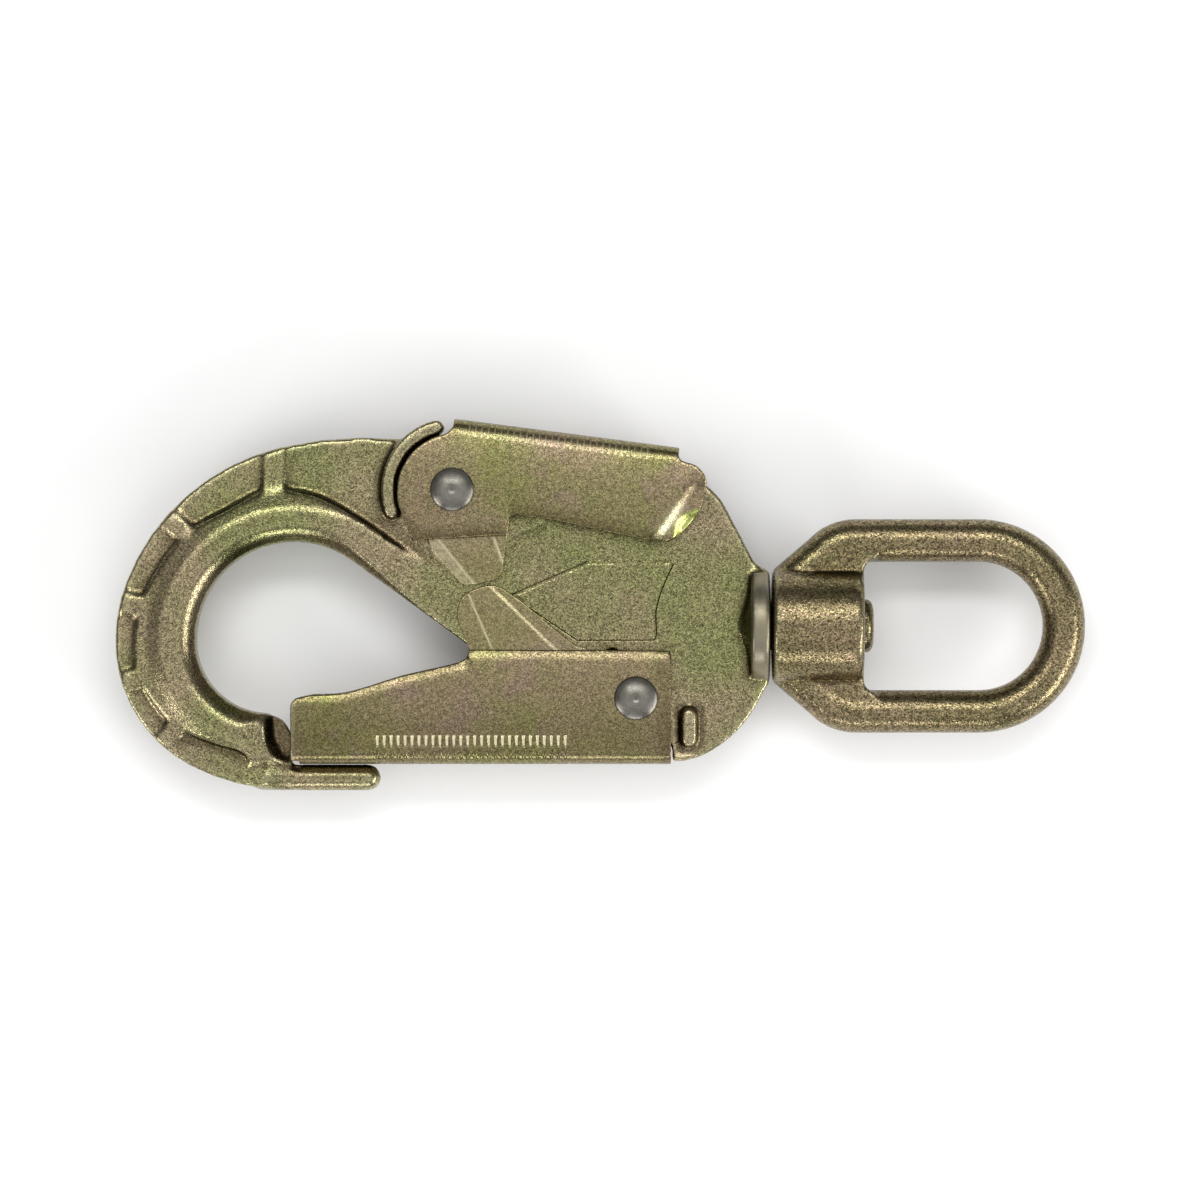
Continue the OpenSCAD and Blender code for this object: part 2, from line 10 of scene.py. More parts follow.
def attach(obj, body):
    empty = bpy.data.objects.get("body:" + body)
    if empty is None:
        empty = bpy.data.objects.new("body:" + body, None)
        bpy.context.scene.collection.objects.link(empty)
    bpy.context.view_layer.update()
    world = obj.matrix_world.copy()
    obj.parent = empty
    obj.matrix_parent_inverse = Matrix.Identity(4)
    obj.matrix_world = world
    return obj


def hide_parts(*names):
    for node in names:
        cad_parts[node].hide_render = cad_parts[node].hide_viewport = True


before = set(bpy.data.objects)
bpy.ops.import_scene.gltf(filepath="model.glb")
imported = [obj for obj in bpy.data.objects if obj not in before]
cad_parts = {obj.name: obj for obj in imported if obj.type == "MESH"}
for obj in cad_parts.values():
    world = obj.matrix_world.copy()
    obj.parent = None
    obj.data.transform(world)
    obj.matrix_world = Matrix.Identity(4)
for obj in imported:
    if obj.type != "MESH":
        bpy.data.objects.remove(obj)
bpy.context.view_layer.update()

MM = 0.001
GATE_PIVOT = (-30.4, -16.2)
LEVER_PIVOT = (-71.7, 30.7)
LEVER_TILT = math.radians(-7.35)
scene = bpy.context.scene


# Materials
def lin(r, g, b):
    """Linear colour of an sRGB one given in 0 to 255."""
    f = lambda v: v / 12.92 if v <= 0.04045 else ((v + 0.055) / 1.055) ** 2.4
    return (f(r / 255), f(g / 255), f(b / 255), 1.0)


class Tree:
    """Short way to write a material's nodes. A value that is a socket is linked."""

    def __init__(self, name):
        self.mat = bpy.data.materials.new(name)
        self.mat.use_nodes = True
        self.t = self.mat.node_tree
        self.bsdf = self.t.nodes["Principled BSDF"]
        self.place = self.add("ShaderNodeTexCoord").outputs["Object"]

    def add(self, kind, sockets=None, **props):
        n = self.t.nodes.new(kind)
        for k, v in props.items():
            setattr(n, k, v)
        for k, v in (sockets or {}).items():
            self.put(n.inputs[k], v)
        return n

    def put(self, socket, v):
        if isinstance(v, bpy.types.NodeSocket):
            self.t.links.new(v, socket)
        else:
            socket.default_value = v

    def noise(self, size_mm, detail=2.0, rough=0.5, stretch=None, seed=0.0):
        """Noise with features of about that size, from 0 to 1."""
        at = self.add("ShaderNodeMapping", {"Vector": self.place})
        at.inputs["Location"].default_value = (seed, seed * 1.7, -seed)
        if stretch:
            at.inputs["Scale"].default_value = stretch
        n = self.add("ShaderNodeTexNoise", {"Vector": at.outputs[0], "Scale": 1 / (size_mm * MM),
                                            "Detail": detail, "Roughness": rough})
        return n.outputs["Fac"]

    def cells(self, size_mm, seed=0.0):
        """Grains of about that size: a random value for each, and how domed it is."""
        at = self.add("ShaderNodeMapping", {"Vector": self.place})
        at.inputs["Location"].default_value = (seed, -seed, seed * 1.3)
        n = self.add("ShaderNodeTexVoronoi", {"Vector": at.outputs[0], "Scale": 1 / (size_mm * MM)})
        value = self.add("ShaderNodeSeparateColor", {0: n.outputs["Color"]}).outputs[0]
        return value, n.outputs["Distance"]

    def math(self, op, a, b=0.0, clamp=False):
        n = self.add("ShaderNodeMath", operation=op, use_clamp=clamp)
        self.put(n.inputs[0], a)
        self.put(n.inputs[1], b)
        return n.outputs[0]

    def between(self, v, lo, hi, to_lo=0.0, to_hi=1.0):
        return self.add("ShaderNodeMapRange", {"Value": v, "From Min": lo, "From Max": hi,
                                               "To Min": to_lo, "To Max": to_hi}).outputs[0]

    def mix(self, fac, a, b, blend="MIX"):
        n = self.add("ShaderNodeMix", data_type="RGBA", blend_type=blend)
        self.put(n.inputs["Factor"], fac)
        self.put(n.inputs["A"], a)
        self.put(n.inputs["B"], b)
        return n.outputs["Result"]

    def attribute(self, name):
        return self.add("ShaderNodeAttribute", attribute_name=name).outputs["Fac"]


# Colours that all plated pieces share: painted shade for creases and shaded places, worn edges that also
# stand as painted highlights, warm flecks, a painted lime reflection on a corner, and bare metal in grooves
# that also draws painted highlights on fold lines
SHADE_COLOUR, WORN_AND_HIGHLIGHT, WARM = lin(56, 42, 25), lin(214, 208, 172), lin(150, 122, 108)
LIME_REFLECTION, SCRATCH_AND_HIGHLIGHT = lin(186, 194, 112), lin(222, 214, 176)


def plated(name, base, tints, rough=(0.2, 0.3), grain=0.03, grain_mm=0.27, shade_strength=0.62,
           machined=None, mottling=0.4, speck=0.6, hue=0.5):
    """Zinc plated steel: broad tints, mottling, sandy grain, painted shade in creases and paler edges, worn
    and with painted highlights.
    The grain is the depth of the bump and grain_mm the size of a grain, in millimetres."""
    t = Tree(name)
    broad = t.noise(26, 2, 0.55, seed=0.013)
    patch = t.noise(6.5, 3, 0.6, seed=0.031)
    fine, dome = t.cells(grain_mm * 0.85)
    tiny = t.cells(grain_mm * 0.5, 0.07)[0]
    coarse = t.noise(grain_mm * 3.2, 2, 0.5, seed=0.05)
    flecks = t.noise(grain_mm * 1.9, 2, 0.6, seed=0.3)
    colour = t.mix(t.between(broad, 0.38, 0.62), tints[0], tints[1])
    colour = t.mix(t.between(patch, 0.4, 0.66, 0, mottling), colour, base)
    if len(tints) > 2:
        colour = t.mix(t.between(t.noise(11, 3, 0.6, seed=0.1), 0.52, 0.68, 0, 0.6), colour, tints[2])
    colour = t.mix(t.between(flecks, 0.5, 0.68, 0, hue), colour, WARM)
    shade = t.between(coarse, 0.3, 0.7, 0.84, 1.14)
    shade = t.math("MULTIPLY", shade, t.between(fine, 0, 1, 1 - speck * 1.2, 1 + speck))
    shade = t.math("MULTIPLY", shade, t.between(tiny, 0, 1, 1 - speck * 0.8, 1 + speck * 0.8))
    grey = t.add("ShaderNodeCombineColor", {0: shade, 1: shade, 2: shade}).outputs[0]
    colour = t.mix(1.0, colour, grey, "MULTIPLY")
    # Paler worn plating on proud edges and bends, which also stands as a painted highlight there
    edge = t.math("MULTIPLY", t.attribute("edge"), t.between(coarse, 0.3, 0.65, 0.4, 1.0))
    colour = t.mix(t.math("MULTIPLY", edge, 0.2), colour, WORN_AND_HIGHLIGHT)
    # Painted shade in creases, recesses and beside other parts
    painted_shade = t.math("MULTIPLY", t.attribute("painted_shade"), t.between(patch, 0.3, 0.7, 0.7, 1.15), True)
    colour = t.mix(t.math("MULTIPLY", painted_shade, shade_strength), colour, SHADE_COLOUR)
    # Painted lime reflection on the lever's steep corner
    colour = t.mix(t.attribute("lime_reflection"), colour, LIME_REFLECTION)
    # Bare metal in grooves, and painted highlights along fold lines
    tick = t.attribute("tick")
    colour = t.mix(tick, colour, SCRATCH_AND_HIGHLIGHT)
    r = t.between(fine, 0, 1, rough[1], rough[0])
    r = t.math("ADD", r, t.between(broad, 0.3, 0.7, -0.03, 0.04))
    height = t.math("ADD", t.math("MULTIPLY", dome, -0.55), t.math("MULTIPLY", coarse, 1.1))
    height = t.math("ADD", height, t.math("MULTIPLY", t.noise(grain_mm * 1.3, 2, 0.6), 0.8))
    if machined:
        m = t.attribute("turned")
        lines = t.noise(0.5, 2, 0.6, stretch=(1.0, 0.02, 0.02), seed=0.2)
        silver = t.mix(t.between(patch, 0.3, 0.7), machined, t.mix(0.4, machined, tints[1]))
        colour = t.mix(m, colour, silver)
        r = t.add("ShaderNodeMix", {0: m, 2: r, 3: t.between(lines, 0.3, 0.7, 0.34, 0.44)}).outputs[0]
        height = t.add("ShaderNodeMix", {0: m, 2: height, 3: t.math("MULTIPLY", lines, 0.2)}).outputs[0]
    t.put(t.bsdf.inputs["Base Color"], colour)
    t.put(t.bsdf.inputs["Roughness"], r)
    t.put(t.bsdf.inputs["Metallic"], t.math("SUBTRACT", 1.0, t.math("MULTIPLY", tick, 0.7)))
    bump = t.add("ShaderNodeBump", {"Height": height, "Strength": 1.0, "Distance": grain * MM})
    t.put(t.bsdf.inputs["Normal"], bump.outputs[0])
    return t.mat


def turned_steel(name, centre, base, rough=(0.27, 0.36)):
    """Grey formed rivet steel with faint turning marks round its own axis."""
    t = Tree(name)
    off = t.add("ShaderNodeVectorMath", {0: t.place, 1: (centre[0] * MM, centre[1] * MM, 0)},
                operation="SUBTRACT").outputs[0]
    part = t.add("ShaderNodeSeparateXYZ", {0: off})
    radius = t.math("SQRT", t.math("ADD", t.math("POWER", part.outputs[0], 2.0),
                                   t.math("POWER", part.outputs[1], 2.0)))
    ring = t.add("ShaderNodeCombineXYZ", {0: radius}).outputs[0]
    marks = t.add("ShaderNodeTexNoise", {"Vector": ring, "Scale": 2600.0, "Detail": 3.0}).outputs[0]
    patch = t.noise(2.4, 3, 0.6)
    fine = t.noise(0.3, 1, 0.5)
    colour = t.mix(t.between(patch, 0.35, 0.65), base, lin(100, 96, 88))
    colour = t.mix(t.between(marks, 0.35, 0.65, 0.0, 0.25), colour, lin(160, 157, 148))
    # Painted shade in the rivet head's dimple and round its rim
    painted_shade = t.attribute("painted_shade")
    colour = t.mix(t.math("MULTIPLY", painted_shade, 0.7), colour, lin(60, 52, 40))
    t.put(t.bsdf.inputs["Base Color"], colour)
    t.put(t.bsdf.inputs["Roughness"], t.between(fine, 0.3, 0.7, *rough))
    t.bsdf.inputs["Metallic"].default_value = 0.95
    height = t.math("ADD", t.math("MULTIPLY", marks, 0.6), t.math("MULTIPLY", fine, 0.5))
    bump = t.add("ShaderNodeBump", {"Height": height, "Strength": 1.0, "Distance": 0.004 * MM})
    t.put(t.bsdf.inputs["Normal"], bump.outputs[0])
    return t.mat


M_FORGED = plated("olive_forged", lin(143, 140, 102), (lin(136, 139, 90), lin(150, 137, 108)),
                  machined=lin(134, 129, 112))
M_SHEET = plated("taupe_sheet", lin(135, 130, 93),
                 (lin(130, 130, 80), lin(138, 124, 96), lin(144, 122, 110)),
                 rough=(0.24, 0.34), grain=0.02, grain_mm=0.26, shade_strength=0.7, speck=0.5)
M_LOCK = plated("khaki_lock", lin(144, 134, 98), (lin(140, 133, 92), lin(150, 136, 110)),
                rough=(0.24, 0.34), grain=0.018, grain_mm=0.26, shade_strength=0.6, speck=0.42)
M_EYE = plated("brass_brown_eye", lin(127, 118, 86), (lin(121, 113, 78), lin(134, 120, 92)),
               rough=(0.24, 0.36), grain=0.045, grain_mm=0.36, shade_strength=0.8, speck=0.66)
M_RIVET_G = turned_steel("rivet_grey_a", GATE_PIVOT, lin(122, 120, 113))
M_RIVET_L = turned_steel("rivet_grey_b", LEVER_PIVOT, lin(120, 118, 110))
M_WIRE = plated("spring_wire", lin(120, 120, 118), (lin(110, 110, 108), lin(132, 130, 126)),
                grain=0.01, grain_mm=0.3, mottling=0.3, speck=0.05, hue=0.0)
M_BRONZE = plated("bushing_bronze", lin(176, 132, 74), (lin(168, 124, 66), lin(184, 142, 84)),
                  grain=0.01, grain_mm=0.3, mottling=0.3, speck=0.06, hue=0.0)
M_WASHER = plated("washer_grey", lin(150, 148, 142), (lin(140, 138, 132), lin(156, 154, 148)),
                  grain=0.012, grain_mm=0.4, mottling=0.3, speck=0.06, hue=0.0)


# Mesh help
def new_piece(name, verts, faces, material, body, slot, *nodes):
    """A mesh piece from millimetre points, riding on a body in place of the CAD nodes."""
    me = bpy.data.meshes.new(name)
    me.from_pydata([tuple(v) for v in np.asarray(verts) * MM], [], [list(map(int, f)) for f in faces])
    me.update()
    bm = bmesh.new()
    bm.from_mesh(me)
    bmesh.ops.recalc_face_normals(bm, faces=bm.faces)
    bm.to_mesh(me)
    bm.free()
    o = bpy.data.objects.new(name, me)
    scene.collection.objects.link(o)
    return dress(o, material, body, slot, *nodes)


def closed_rows(rows, n):
    """Faces of a closed body from rows of n points, one above the other."""
    faces = []
    for k in range(rows - 1):
        for i in range(n):
            j = (i + 1) % n
            faces.append((k * n + i, k * n + j, (k + 1) * n + j, (k + 1) * n + i))
    faces.append(tuple(range(n - 1, -1, -1)))
    faces.append(tuple(range((rows - 1) * n, rows * n)))
    return faces


def dress(o, material, body, slot, *nodes):
    """Material and body of a piece, and the CAD nodes it stands for, which are hidden; the slot is not used.
    """
    o.data.materials.clear()
    o.data.materials.append(material)
    o.data.shade_smooth()
    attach(o, body)
    if nodes:
        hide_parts(*nodes)
    return o


def points_of(me):
    p = np.empty(len(me.vertices) * 3)
    me.vertices.foreach_get("co", p)
    return p.reshape(-1, 3)


def normals_of(me):
    n = np.empty(len(me.vertices) * 3)
    me.vertices.foreach_get("normal", n)
    return n.reshape(-1, 3)


def edges_of(me):
    e = np.empty(len(me.edges) * 2, dtype=np.int64)
    me.edges.foreach_get("vertices", e)
    return e.reshape(-1, 2)


def relax(p, e, times, amount=0.5, weight=None):
    """Moves every point towards the mean of its neighbours."""
    n = len(p)
    deg = np.bincount(e.ravel(), minlength=n)[:, None].astype(float)
    deg[deg == 0] = 1
    w = amount if weight is None else amount * weight[:, None]
    for _ in range(times):
        s = np.zeros_like(p)
        for k in range(3):
            s[:, k] = (np.bincount(e[:, 0], p[e[:, 1], k], n) + np.bincount(e[:, 1], p[e[:, 0], k], n))
        p = p + w * (s / deg - p)
    return p


def set_points(me, p):
    me.vertices.foreach_set("co", np.ascontiguousarray(p).ravel())
    me.update()


def set_value(me, name, v):
    a = me.attributes.get(name) or me.attributes.new(name, "FLOAT", "POINT")
    a.data.foreach_set("value", np.ascontiguousarray(v, dtype=np.float32))


def relief(o, reach, edge_mm, hollow_mm):
    """Stores where the surface is proud (edge: worn edges and painted highlights) or sunken
    (painted shade) compared with itself smoothed by that many rounds."""
    me = o.data
    p, e, n = points_of(me), edges_of(me), normals_of(me)
    d = ((p - relax(p, e, reach)) * n).sum(1) / MM
    d = relax(np.repeat(d[:, None], 3, 1), e, 2)[:, 0]
    set_value(me, "edge", np.clip((d - edge_mm * 0.4) / edge_mm, 0, 1))
    set_value(me, "painted_shade", np.clip((-d - hollow_mm * 0.3) / hollow_mm, 0, 1))


def remeshed(node, name, voxel_mm, rounds):
    """A smooth forged skin from a CAD node: one fine even mesh, then softened."""
    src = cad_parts[node]
    me = src.data.copy()
    me.name = name
    o = bpy.data.objects.new(name, me)
    scene.collection.objects.link(o)
    bm = bmesh.new()
    bm.from_mesh(me)
    bmesh.ops.remove_doubles(bm, verts=bm.verts, dist=1e-7)
    bm.to_mesh(me)
    bm.free()
    mod = o.modifiers.new("even", "REMESH")
    mod.mode = "VOXEL"
    mod.voxel_size = voxel_mm * MM
    dg = bpy.context.evaluated_depsgraph_get()
    fine = bpy.data.meshes.new_from_object(o.evaluated_get(dg))
    o.modifiers.clear()
    o.data = fine
    fine.name = name
    set_points(fine, relax(points_of(fine), edges_of(fine), rounds))
    return o


def from_line(q, poly):
    """Distance of points from a closed outline, positive inside."""
    best = np.full(len(q), 1e9)
    poly = np.asarray(poly, float)
    for a, b in zip(poly, np.roll(poly, -1, axis=0)):
        ab = b - a
        k = np.clip(((q - a) @ ab) / max(ab @ ab, 1e-12), 0, 1)
        best = np.minimum(best, np.hypot(*(q - a - k[:, None] * ab).T))
    return np.where(within(q, poly), best, -best)


def crisp_step(o, outline, z_out, z_in):
    """Finer faces along a sunken outline, and a sharp low wall there, on both sides."""
    band, width = 1.0, 0.3
    me = o.data
    q = points_of(me) / MM
    near = (np.abs(from_line(q[:, :2], outline)) < band + 0.2) & (np.abs(np.abs(q[:, 2]) - z_out) < 0.8)
    bm = bmesh.new()
    bm.from_mesh(me)
    edges = {e for f in bm.faces if all(near[v.index] for v in f.verts) for e in f.edges}
    bmesh.ops.subdivide_edges(bm, edges=list(edges), cuts=2, use_grid_fill=True)
    bm.to_mesh(me)
    bm.free()
    q = points_of(me) / MM
    d = from_line(q[:, :2], outline)
    flat = np.abs(np.abs(q[:, 2]) - (z_out + z_in) / 2) < 0.55
    w = (1 - smoothstep(np.abs(d), band * 0.65, band)) * flat
    z = z_out + (z_in - z_out) * smoothstep(d, -width / 2, width / 2)
    q[:, 2] = np.sign(q[:, 2]) * (np.abs(q[:, 2]) * (1 - w) + z * w)
    set_points(me, q * MM)


# Folded sheets
def soft(p, n=4):
    """Soft curve through points, as in the solids."""
    p = np.asarray(p, float)
    out = []
    for i in range(len(p) - 1):
        a, b, c, d = p[max(i - 1, 0)], p[i], p[i + 1], p[min(i + 2, len(p) - 1)]
        for j in range(n):
            t = j / n
            out.append(0.5 * (2 * b + t * (c - a) + t * t * (2 * a - 5 * b + 4 * c - d)
                              + t ** 3 * (3 * b - a - 3 * c + d)))
    return [tuple(q) for q in out]


def rounded(poly, r=0.6, turn=18):
    """Rounds the sharp corners of an outline."""
    poly = [np.asarray(p, float) for p in poly]
    poly = [p for i, p in enumerate(poly) if np.linalg.norm(p - poly[i - 1]) > 1e-4]
    out = []
    for i, p in enumerate(poly):
        a, b = poly[i - 1], poly[(i + 1) % len(poly)]
        u, v = a - p, b - p
        lu, lv = np.linalg.norm(u), np.linalg.norm(v)
        ang = math.degrees(math.acos(np.clip(-(u @ v) / lu / lv, -1, 1)))
        if ang < turn:
            out.append(p)
            continue
        c = min(r, 0.45 * lu, 0.45 * lv)
        p0, p1 = p + u / lu * c, p + v / lv * c
        for t in (0, 0.25, 0.5, 0.75, 1):
            out.append((1 - t) ** 2 * p0 + 2 * t * (1 - t) * p + t * t * p1)
    return np.array(out)


def spaced(poly, step):
    out = []
    for i, a in enumerate(poly):
        b = poly[(i + 1) % len(poly)]
        n = max(1, int(math.ceil(np.linalg.norm(b - a) / step)))
        out += [a + (b - a) * k / n for k in range(n)]
    return np.array(out)


def area(poly):
    q = np.roll(poly, -1, axis=0)
    return 0.5 * float((poly[:, 0] * q[:, 1] - q[:, 0] * poly[:, 1]).sum())


def inset(poly, d):
    """The outline moved inwards by d, for one that runs anticlockwise."""
    t0 = poly - np.roll(poly, 1, axis=0)
    t1 = np.roll(poly, -1, axis=0) - poly
    n0 = np.stack([-t0[:, 1], t0[:, 0]], 1) / np.linalg.norm(t0, axis=1)[:, None]
    n1 = np.stack([-t1[:, 1], t1[:, 0]], 1) / np.linalg.norm(t1, axis=1)[:, None]
    m = n0 + n1
    m /= np.maximum((m * n0).sum(1), 0.55)[:, None]
    return poly + d * m


def within(p, poly):
    x, y = p[:, 0], p[:, 1]
    res = np.zeros(len(p), bool)
    for (ax, ay), (bx, by) in zip(poly, np.roll(poly, -1, axis=0)):
        if ay == by:
            continue
        c = (ay > y) != (by > y)
        res ^= c & (x < ax + (y - ay) * (bx - ax) / (by - ay))
    return res


def folded_sheet(outline, place, t, step, holes=(), grooves=(), b=0.3, edge_step=0.7):
    """Sheet of thickness t with rounded edges. The outline is the flat blank, (x, s) in
    millimetres, and place(x, s, h) folds it; h is the distance from the middle of the
    sheet, outwards. Grooves are (x0, x1, s0, s1, depth). Returns points, faces and how
    far each point is down in a deep groove."""
    outline = spaced(outline if area(outline) > 0 else outline[::-1], edge_step)
    rings = [(0.0, t / 2 - b), (b * 0.29, t / 2 - b * 0.29), (b, t / 2)]
    pts, high, cons = [], [], []

    def loop(points, h):
        k = len(pts)
        pts.extend(map(tuple, points))
        high.extend([h] * len(points))
        cons.extend((k + i, k + (i + 1) % len(points)) for i in range(len(points)))
        return np.arange(k, k + len(points))

    borders = []
    for i, (d, h) in enumerate(rings):
        idx = loop(inset(outline, d) if d else outline, h)
        if i == 0:
            borders.append(idx)
    for cx, cs, r in holes:
        for i, (d, h) in enumerate(rings):
            a = np.linspace(0, 2 * np.pi, 48, endpoint=False)
            idx = loop(np.stack([cx + (r + d) * np.cos(a), cs + (r + d) * np.sin(a)], 1), h)
            if i == 0:
                borders.append(idx)
    cut = len(pts)
    for x0, x1, s0, s1, deep in grooves:
        for d, dh in ((-0.08, 0.0), (0.02, 0.25 * deep), (0.14, deep)):
            rect = np.array([(x0 + d, s0 + d), (x1 - d, s0 + d), (x1 - d, s1 - d), (x0 + d, s1 - d)])
            loop(spaced(rect, 0.9), t / 2 - dh)
    x = np.arange(outline[:, 0].min() + step / 2, outline[:, 0].max(), step)
    s = np.arange(outline[:, 1].min() + step / 2, outline[:, 1].max(), step)
    gx, gs = np.meshgrid(x, s)
    gx = gx + (np.arange(len(s)) % 2)[:, None] * step / 2
    grid = np.stack([gx.ravel(), gs.ravel()], 1)
    ok = within(grid, inset(outline, b + 0.3 * step))
    for cx, cs, r in holes:
        ok &= np.hypot(grid[:, 0] - cx, grid[:, 1] - cs) > r + b + 0.3 * step
    for x0, x1, s0, s1, _ in grooves:
        ok &= ~((grid[:, 0] > x0 - 0.3) & (grid[:, 0] < x1 + 0.3) & (grid[:, 1] > s0 - 0.3)
                & (grid[:, 1] < s1 + 0.3))
    for q in grid[ok]:
        pts.append(tuple(q))
        high.append(t / 2)
    co, _, tris, source, _, _ = geometry.delaunay_2d_cdt([Vector(p) for p in pts], cons, [], 0, 1e-5)
    co = np.array([tuple(c) for c in co])
    h = np.array([high[src[0]] if src else t / 2 for src in source])
    where = {}
    for i, src in enumerate(source):
        for k in src:
            where[k] = i
    tris = np.array([f for f in tris if len(f) == 3])
    mid = co[tris].mean(1)
    keep = within(mid, outline)
    for cx, cs, r in holes:
        keep &= np.hypot(mid[:, 0] - cx, mid[:, 1] - cs) > r
    tris = tris[keep]
    inner_h = -h.copy()
    grooved = np.array([bool(src) and cut <= src[0] for src in source])
    inner_h[grooved] = -t / 2
    n = len(co)
    outer = place(co[:, 0], co[:, 1], h)
    inner = place(co[:, 0], co[:, 1], inner_h)
    faces = [tuple(f) for f in tris] + [(f[0] + n, f[2] + n, f[1] + n) for f in tris]
    for idx in borders:
        ring = [where[k] for k in idx]
        for i, a in enumerate(ring):
            c = ring[(i + 1) % len(ring)]
            faces.append((a, a + n, c + n, c))
    used = np.unique(np.concatenate([np.array(f) for f in faces]))
    new = -np.ones(2 * n, int)
    new[used] = np.arange(len(used))
    verts = np.concatenate([outer, inner])[used]
    tick = np.concatenate([(t / 2 - h) * grooved, np.zeros(n)])
    return verts, [tuple(new[list(f)]) for f in faces], tick[used]


def channel(base, up, half, t, r):
    """Folding of a blank into a channel: the spine's outer face is at y = base, the cheeks
    stand towards up (+1 or -1) and their outer faces are at z = +-half. s runs from the
    middle of the spine. Returns the fold and the s of a cheek's y."""
    rm = r - t / 2
    flat = half - r
    arc = rm * math.pi / 2

    def to_s(y):
        return flat + arc + (y - base) * up - r

    def fold(x, s, h):
        q = np.abs(s)
        y = np.empty_like(q)
        z = np.empty_like(q)
        a = q <= flat
        c = q >= flat + arc
        m = ~a & ~c
        y[a] = t / 2 - h[a]
        z[a] = q[a]
        th = (q[m] - flat) / rm
        y[m] = r - (rm + h[m]) * np.cos(th)
        z[m] = flat + (rm + h[m]) * np.sin(th)
        y[c] = r + q[c] - flat - arc
        z[c] = half - t / 2 + h[c]
        return x, base + up * y, z, np.sign(s)

    return fold, to_s


def mirrored(half_outline):
    """A whole blank from its half with s above 0, given from the left end to the right."""
    top = np.asarray(half_outline, float)
    low = top[::-1] * [1, -1]
    return np.concatenate([top, low])


def smoothstep(v, a, b):
    t = np.clip((v - a) / (b - a), 0, 1)
    return t * t * (3 - 2 * t)


def left_of(x, y, a, b):
    """Distance of points to the left of the line from a to b."""
    d = np.array(b, float) - a
    d /= np.linalg.norm(d)
    return d[0] * (y - a[1]) - d[1] * (x - a[0])


def crease(x, y, line, width=0.3):
    """0 on the right of a fold line and 1 on its left."""
    return smoothstep(left_of(x, y, *line), -width, width)


def fold_line(x, y, line, width=0.32):
    """1 on a fold line, falling to 0 beside it."""
    return 1 - smoothstep(np.abs(left_of(x, y, *line)), 0, width)


# Thickness, outer bend radius and edge rounding of the outer sheets and of the inner ones
SHEET, SHEET_BEND, SHEET_EDGE = 2.0, 3.4, 0.3
INNER, INNER_BEND, INNER_EDGE = 1.3, 1.6, 0.22
RIVET_HOLE = 3.25


def sheet_piece(name, blank, place, size, rivet, material, owner, grooves=()):
    """A folded sheet with a rivet hole in each cheek. The size is thickness, edge rounding
    and spacing of its points, and the owner is body, slot and CAD node. Returns the piece,
    its points in millimetres and how deep each one lies in a groove."""
    thickness, rounding, step = size
    holes = [(rivet[0], rivet[1], RIVET_HOLE), (rivet[0], -rivet[1], RIVET_HOLE)]
    v, f, depth = folded_sheet(blank, place, thickness, step, holes, grooves, rounding)
    o = new_piece(name, v, f, material, *owner)
    mod = o.modifiers.new("flat_faces", "WEIGHTED_NORMAL")
    mod.mode = "FACE_AREA"
    mod.weight = 60
    return o, points_of(o.data) / MM, depth


def on_both_sides(x0, x1, s0, s1, depth):
    """A groove and its mirror image on the other cheek."""
    return [(x0, x1, s0, s1, depth), (x0, x1, -s1, -s0, depth)]


# Gate
GATE_SPINE = -31.1
GATE_LEFT, GATE_RIGHT = -108.1, -22.5
GATE_SLOPE = [(-68.2, -6.2), (-70.4, -8.2), (-82.8, -11.1), (-91.1, -13.7), (-97.2, -15.2), (-104.9, -15.5)]


def make_gate():
    """Half blank from the slot behind the tongue, up the nose end and along the top edge."""
    fold, to_s = channel(GATE_SPINE, 1, 7.6, SHEET, SHEET_BEND)
    top = [(-68, -5.3)] + soft(GATE_SLOPE, 4) + [(-106.9, -16.2), (GATE_LEFT, -17.4)]
    half = [(-106.2, 5.6), (GATE_LEFT, 5.6)] + [(x, to_s(y)) for x, y in top[::-1]]
    half += [(-23.4, to_s(-5.5)), (-22.75, to_s(-5.75)), (GATE_RIGHT, to_s(-6.4)), (GATE_RIGHT, 0.4)]

    def place(x, s, h):
        """The cheek is a little crowned, and its top edge turns inwards."""
        x, y, z, side = fold(x, s, h)
        crown = 0.004 * np.clip(y + 19, -7, 13) ** 2
        slope = np.interp(x, [-107, -97, -91, -82.8, -70.4], [-15.5, -15.2, -13.7, -11.1, -8.2])
        lip = np.where(x < -68.3, 0.35 * smoothstep(y - slope, -2.2, 0), 0.4 * smoothstep(y, -7.4, -5.0))
        return np.stack([x, y, (z - (crown + lip) * smoothstep(z, 3, 6)) * side], 1)

    pitch, width = 1.565, 0.75
    grooves = []
    for x0 in -88.9 + pitch * np.arange(28):
        grooves += on_both_sides(x0, x0 + width, to_s(-27), to_s(-24.5), 0.3)
        grooves += on_both_sides(x0, x0 + width, 4.6, 7.9, 0.12)
    o, p, depth = sheet_piece("gate_sheet", rounded(mirrored(half), 0.5), place, (SHEET, SHEET_EDGE, 0.8),
                              (GATE_PIVOT[0], to_s(GATE_PIVOT[1])), M_SHEET,
                              ("gate", "sheet_steel", "gate"), grooves)
    x, y = p[:, 0], p[:, 1]
    set_value(o.data, "tick", np.clip((depth - 0.13) * 8, 0, 1))
    # Painted highlight along the left end's edge, in the worn-edge colour
    set_value(o.data, "edge", 2.2 * (1 - smoothstep(x, GATE_LEFT + 0.2, GATE_LEFT + 1.1)))
    # Painted shade: a little all over, more low on the cheek and at both ends
    low = 0.3 * (1 - smoothstep(y, -26, -17)) * smoothstep(y, -30.5, -28)
    ends = 0.35 * smoothstep(x, -27, -23.5) + 0.18 * (1 - smoothstep(x, -104, -84))
    set_value(o.data, "painted_shade", 0.1 + low + ends)


